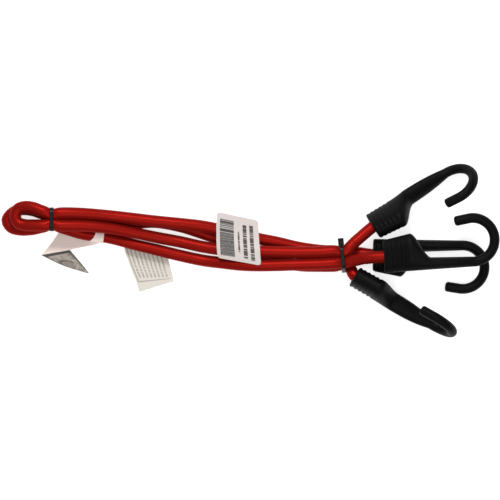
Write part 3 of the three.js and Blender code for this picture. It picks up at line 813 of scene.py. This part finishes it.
def hook_section(along):
    """Width, thickness and squareness of the straight part of a hook."""
    if along <= GRIP_LENGTH:
        width = MOUTH_WIDTH + (GRIP_WIDTH - MOUTH_WIDTH) * along / GRIP_LENGTH
        return width, GRIP_THICKNESS, GRIP_SQUARENESS
    past = (along - GRIP_LENGTH) / (BEND_START - GRIP_LENGTH)
    squareness = GRIP_SQUARENESS + (ROUND_SQUARENESS - GRIP_SQUARENESS) * past
    if along <= SHOULDER_END:
        share = eased((along - GRIP_LENGTH) / SHOULDER_LENGTH)
        width = GRIP_WIDTH + (SHANK_WIDTH - GRIP_WIDTH) * share
        return width, GRIP_THICKNESS + (SHANK_THICKNESS - GRIP_THICKNESS) * share, squareness
    share = (along - SHOULDER_END) / SHANK_LENGTH
    width = SHANK_WIDTH + (2 * ROD_RADIUS - SHANK_WIDTH) * share
    thickness = SHANK_THICKNESS + (2 * ROD_RADIUS - SHANK_THICKNESS) * share ** SHANK_TAPER_POWER
    return width, thickness, squareness


def straight_ring(along, at=None, inset=0.0, hollow=0.0):
    """Ring of the straight part of a hook, moved to at if given, shrunk by inset and thinned by hollow."""
    width, thickness, squareness = hook_section(along)
    corners = section(HOOK_SIDES, squareness)
    across = corners[:, 0] * (width / 2 - inset) + width / 2 - BORE_FROM_BACK
    up = corners[:, 1] * (thickness / 2 - inset - hollow)
    across[0] += MOULD_LINE
    across[HOOK_SIDES // 2] -= MOULD_LINE
    return np.column_stack([np.full(HOOK_SIDES, along if at is None else at), across, up])


def socket_ring(along, radius):
    corners = section(HOOK_SIDES) * radius
    return np.column_stack([np.full(HOOK_SIDES, along), corners])


def rod_ring(angle, past, radius):
    """Ring of the bend at an angle round it, or past its end."""
    inward = np.array([-math.sin(angle), math.cos(angle), 0])
    forward = np.array([math.cos(angle), math.sin(angle), 0])
    centre = np.array([BEND_START, BEND_RADIUS + ROD_RADIUS - BORE_FROM_BACK, 0])
    centre = centre - inward * BEND_RADIUS + forward * past
    corners = section(HOOK_SIDES) * radius
    corners[0, 0] += MOULD_LINE
    corners[HOOK_SIDES // 2, 0] -= MOULD_LINE
    return centre + corners[:, :1] * inward + corners[:, 1:] * UP


def quarter(steps):
    """Steps of a quarter circle: how far in and how far along, from 0 to 1."""
    angle = np.linspace(0, math.pi / 2, steps)
    return zip(1 - np.sin(angle), 1 - np.cos(angle))


def hook_rings():
    """Rings from the bottom of the socket out of the mouth, then along the outside to the tip."""
    rings = [socket_ring(CAVITY_END, CAVITY_RADIUS), socket_ring(BORE_LENGTH, CAVITY_RADIUS)]
    rings += [socket_ring(BORE_LENGTH, BORE_RADIUS), socket_ring(BELL_DEPTH, BORE_RADIUS)]
    for share in np.linspace(1, 0, ROUNDING_STEPS + 1)[1:]:
        rings.append(socket_ring(BELL_DEPTH * share, BORE_RADIUS + BELL_FLARE * (1 - share) ** 2))
    for inset, along in quarter(ROUNDING_STEPS):
        rings.append(straight_ring(0, at=MOUTH_ROUNDING * along, inset=MOUTH_ROUNDING * inset))
    for i in range(1, RIB_COUNT * RIB_STEPS + 1):
        share = i / RIB_STEPS
        hollow = RIB_DEPTH * math.sin(math.pi * share) ** 2
        rings.append(straight_ring(MOUTH_ROUNDING + share * RIB_PITCH, hollow=hollow))
    for share in np.linspace(0, 1, SHOULDER_STEPS + 1):
        rings.append(straight_ring(GRIP_LENGTH + share * SHOULDER_LENGTH))
    for share in np.linspace(0, 1, SHANK_STEPS + 1)[1:-1]:
        rings.append(straight_ring(SHOULDER_END + share * SHANK_LENGTH))
    for share in np.linspace(0, 1, BEND_STEPS + 1):
        rings.append(rod_ring(share * BEND_ANGLE, 0, ROD_RADIUS))
    for inset, along in list(quarter(ROUNDING_STEPS))[::-1]:
        past = TIP_LEG - TIP_ROUNDING * along
        rings.append(rod_ring(BEND_ANGLE, past, ROD_RADIUS - TIP_ROUNDING * inset))
    return np.array(rings)


def make_hook(name, body):
    piece = lofted(f"hook_{name}_moulded", hook_rings(), HOOK_PLASTIC)
    piece.data.transform(hook_matrix(HOOKS[name]))
    sharpen(piece, HOOK_SHARP_ANGLE)
    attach(piece, body)
    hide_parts(f"hook_{name}")


# Cable ties

def strap_path(tie):
    """Points and outward directions of a strap round four strands, seen along X."""
    low, high = tie["low"], tie["high"]
    top, bottom = STACK_HIGH + tie["lift"], STACK_LOW + tie["lift"]
    corners = [(high[1], top), (high[0], top), (low[0], bottom), (low[1], bottom)]
    facing = []
    for (y, z), (next_y, next_z) in zip(corners, corners[1:] + corners[:1]):
        facing.append(math.atan2(y - next_y, next_z - z))
    points, outward = [], []
    for i, (y, z) in enumerate(corners):
        sweep = (facing[i] - facing[i - 1]) % (2 * math.pi)
        for share in np.linspace(0, 1, TIE_CORNER_STEPS + 1):
            angle = facing[i - 1] + sweep * share
            way = np.array([0, math.cos(angle), math.sin(angle)])
            points.append(np.array([0, y, z]) + way * TIE_REACH)
            outward.append(way)
    return np.array(points), np.array(outward)


def strap_section():
    """Corners of a strap's section: out from the strands, and along X. Its edges are bevelled."""
    half, edge = TIE_WIDTH / 2, TIE_EDGE
    outside = TIE_THICKNESS
    return [(0, half - edge / 2), (edge / 2, half), (outside - edge, half), (outside, half - edge),
            (outside, edge - half), (outside - edge, -half), (edge / 2, -half), (0, edge / 2 - half)]


def add_head(shape, place):
    """A rounded block with a slot sunk in one end, and the cut tail of the strap in the slot."""
    box = bmesh.ops.create_cube(shape, size=1)["verts"]
    bmesh.ops.scale(shape, vec=HEAD_SIZE, verts=box)
    bmesh.ops.bevel(
        shape, geom=shape.edges[:], affect="EDGES",
        offset=HEAD_EDGE, segments=HEAD_EDGE_STEPS, profile=HEAD_EDGE_PROFILE,
    )
    top = max(shape.faces, key=lambda face: face.calc_center_median().z + face.calc_area())
    bmesh.ops.inset_individual(shape, faces=[top], thickness=SLOT_RIM)
    sunk = bmesh.ops.extrude_discrete_faces(shape, faces=[top])["faces"][0]
    bmesh.ops.translate(shape, vec=(0, 0, -SLOT_DEPTH), verts=sunk.verts)
    tail = bmesh.ops.create_cube(shape, size=1)["verts"]
    bmesh.ops.scale(shape, vec=(TAIL_WIDTH, TIE_THICKNESS, TAIL_LENGTH + SLOT_DEPTH), verts=tail)
    bmesh.ops.translate(shape, vec=(0, 0, HEAD_SIZE[2] / 2 + (TAIL_LENGTH - SLOT_DEPTH) / 2), verts=tail)
    bmesh.ops.transform(shape, matrix=place, verts=shape.verts)


def head_place(tie):
    """Where a tie's head is: beside the upper strand, or under the lower two and turned to face down."""
    out = HEAD_OUT - HEAD_SIZE[1] / 2
    if tie["head"] == "side":
        return Matrix.Translation((0, tie["high"][1] + out, STACK_HIGH + tie["lift"] - HEAD_BELOW_STRAND))
    middle = (tie["low"][0] + tie["low"][1]) / 2
    below = Matrix.Translation((0, middle, STACK_LOW + tie["lift"] - out))
    return below @ Matrix.Rotation(-math.pi / 2, 4, "X")


def make_tie(name, tie):
    points, outward = strap_path(tie)
    along_x = np.array([1.0, 0, 0])
    rings = np.stack([points + outward * out + along_x * side for out, side in strap_section()], axis=1)
    count, sides = rings.shape[:2]
    piece = mesh_of(f"{name}_strap", rings.reshape(-1, 3), loft_faces(count, sides, closed=True), TIE_NYLON)
    head = bmesh.new()
    add_head(head, head_place(tie))
    block = bpy.data.meshes.new("head")
    head.to_mesh(block)
    head.free()
    shape = bmesh.new()
    shape.from_mesh(piece.data)
    shape.from_mesh(block)
    bmesh.ops.recalc_face_normals(shape, faces=shape.faces)
    shape.to_mesh(piece.data)
    shape.free()
    bpy.data.meshes.remove(block)
    pivot = (tie["high"][0] + tie["high"][1]) / 2
    back = Matrix.Translation((0, -pivot, 0))
    turn = Matrix.Rotation(math.radians(tie["yaw"]), 4, "Z")
    piece.data.transform(Matrix.Translation((tie["x"], pivot, 0)) @ turn @ back)
    sharpen(piece, TIE_SHARP_ANGLE)
    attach(piece, "bundle")
    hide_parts(name)


# Paper labels

def sheet_points(rows):
    """A smooth grid of points through rows that are given by their two ends."""
    left = catmull_rom([row[0] for row in rows], SHEET_STEPS)
    right = catmull_rom([row[1] for row in rows], SHEET_STEPS)
    share = np.linspace(0, 1, SHEET_COLUMNS + 1)[None, :, None]
    return left[:, None, :] * (1 - share) + right[:, None, :] * share


def round_corners(grid, radius):
    """Pulls in the ends of the rows near a grid's first and last row, so that its corners are round."""
    left, right = grid[:, :1], grid[:, -1:]
    width = np.linalg.norm(right - left, axis=-1)
    along = distances(grid[:, 0])
    from_edge = np.minimum(along, along[-1] - along)
    short = np.clip(radius - from_edge, 0, radius)
    pulled = (radius - np.sqrt(radius ** 2 - short ** 2))[:, None] / width
    share = np.linspace(0, 1, grid.shape[1])[None, :]
    share = (pulled + (1 - 2 * pulled) * share)[..., None]
    return left * (1 - share) + right * share


def paper_mesh(name, grid, material):
    """A thin closed sheet under a grid of points, with its own coordinates across and down."""
    rows, columns = grid.shape[:2]
    count = rows * columns
    index = np.arange(count).reshape(rows, columns)
    corners = [index[:-1, :-1], index[1:, :-1], index[1:, 1:], index[:-1, 1:]]
    cells = np.stack(corners, axis=-1).reshape(-1, 4)
    rim = [*index[:, 0], *index[-1, 1:], *index[-2::-1, -1], *index[0, -2:0:-1]]
    sides = [[b, a, a + count, b + count] for a, b in zip(rim, rim[1:] + rim[:1])]
    faces = cells.tolist() + (cells[:, ::-1] + count).tolist() + [[int(v) for v in face] for face in sides]
    points = np.vstack([grid.reshape(-1, 3), grid.reshape(-1, 3) - UP * PAPER])
    piece = mesh_of(name, points, faces, material)
    across = np.tile(np.linspace(0, 1, columns), 2 * rows)
    down = np.tile(np.repeat(np.linspace(0, 1, rows), columns), 2)
    place = piece.data.uv_layers.new(name="label")
    for loop in piece.data.loops:
        place.data[loop.index].uv = (across[loop.vertex_index], down[loop.vertex_index])
    sharpen(piece, PAPER_SHARP_ANGLE)
    return piece


def make_sticker():
    grid = round_corners(sheet_points(STICKER_ROWS), STICKER_CORNER)
    piece = paper_mesh("sticker_paper", grid, STICKER_PAPER)
    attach(piece, "bundle")
    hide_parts("price_sticker")


def make_hanging_tag():
    piece = paper_mesh("tag_paper", sheet_points(HANGING_TAG_ROWS), TAG_CARD)
    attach(piece, "hanging_tag")
    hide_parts("hanging_tag")


def wrap_band():
    """The wrapped tag's band: a paper ring round a strand, wider on the side where the tag comes out."""
    angle = np.linspace(0, 2 * math.pi, BAND_STEPS, endpoint=False)
    spoke = np.column_stack([np.zeros(BAND_STEPS), np.cos(angle), np.sin(angle)])
    corners = [(0, -1), (0, 1), (PAPER, 1), (PAPER, -1)]
    along_x = np.array([BAND_WIDTH / 2, 0, 0])
    rings = np.stack([spoke * (BAND_RADIUS + out) + along_x * side for out, side in corners], axis=1)
    slant = BAND_SLANT * np.clip((BAND_SLANT_FROM - np.cos(angle)) / (BAND_SLANT_FROM + 1), 0, 1) ** 2
    for i, (_, side) in enumerate(corners):
        if side < 0:
            rings[:, i, 0] -= slant
    faces = loft_faces(BAND_STEPS, len(corners), closed=True)
    band = mesh_of("wrap_tag_band", rings.reshape(-1, 3), faces, FLAG_CARD)
    band.data.transform(Matrix.Translation(BAND_PLACE) @ Matrix.Rotation(BAND_YAW, 4, "Z"))
    sharpen(band, PAPER_SHARP_ANGLE)
    return band


def make_wrap_tag():
    """A tag under a strand, creased so that its end shows its back, with a band round the strand."""
    flag = sheet_points(FLAG_ROWS)
    flap = sheet_points(FLAP_ROWS)
    tag = paper_mesh("wrap_tag_paper", np.vstack([flag, flap[1:]]), FLAG_CARD)
    tag.data.materials.append(FLAP_CARD)
    crease = (len(flag) - 1) / (len(flag) + len(flap) - 2)
    place = tag.data.uv_layers["label"].data
    for face in tag.data.polygons:
        if min(place[loop].uv.y for loop in face.loop_indices) > crease - CREASE_TOLERANCE:
            face.material_index = 1
    band = wrap_band()
    for piece in (tag, band):
        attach(piece, "bundle")
    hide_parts("wrap_tag")


# Stage

def make_floor():
    half = FLOOR_HALF
    corners = [(-half, -half, 0), (half, -half, 0), (half, half, 0), (-half, half, 0)]
    floor = mesh_of("floor", corners, [list(range(len(corners)))], floor_material())


def add_light(name, place, size, power):
    light = bpy.data.lights.new(name, "AREA")
    light.size = size
    light.energy = power
    made = bpy.data.objects.new(name, light)
    made.location = place
    made.rotation_euler = (-Vector(place)).to_track_quat("-Z", "Y").to_euler()
    bpy.context.scene.collection.objects.link(made)


def make_studio():
    """Soft light from above, most of it from behind, in a white surround. Colours show as they are."""
    world = bpy.data.worlds.new("surround")
    world.use_nodes = True
    background = world.node_tree.nodes["Background"]
    background.inputs["Color"].default_value = grey(1.0)
    background.inputs["Strength"].default_value = SURROUND_STRENGTH
    bpy.context.scene.world = world
    bpy.context.scene.view_settings.view_transform = "Standard"
    for name, light in LIGHTS.items():
        add_light(name, **light)


def make_camera():
    lens = bpy.data.cameras.new("camera")
    lens.sensor_width = SENSOR_WIDTH
    lens.lens = SENSOR_WIDTH * (CAMERA_HEIGHT - CORD_PLANE) / PHOTO_WIDTH
    camera = bpy.data.objects.new("camera", lens)
    camera.location = (*PHOTO_CENTRE, CAMERA_HEIGHT)
    bpy.context.scene.collection.objects.link(camera)
    bpy.context.scene.camera = camera


make_camera()
make_studio()
make_floor()
for cord_name, cord in CORDS.items():
    make_cord(cord_name, cord)
for hook_name in HOOKS:
    make_hook(hook_name, f"{hook_name}_hook")
    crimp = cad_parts[f"crimp_{hook_name}"]
    crimp.data.materials.clear()
    crimp.data.materials.append(STEEL)
for tie_name, tie in TIES.items():
    make_tie(tie_name, tie)
make_sticker()
make_hanging_tag()
make_wrap_tag()
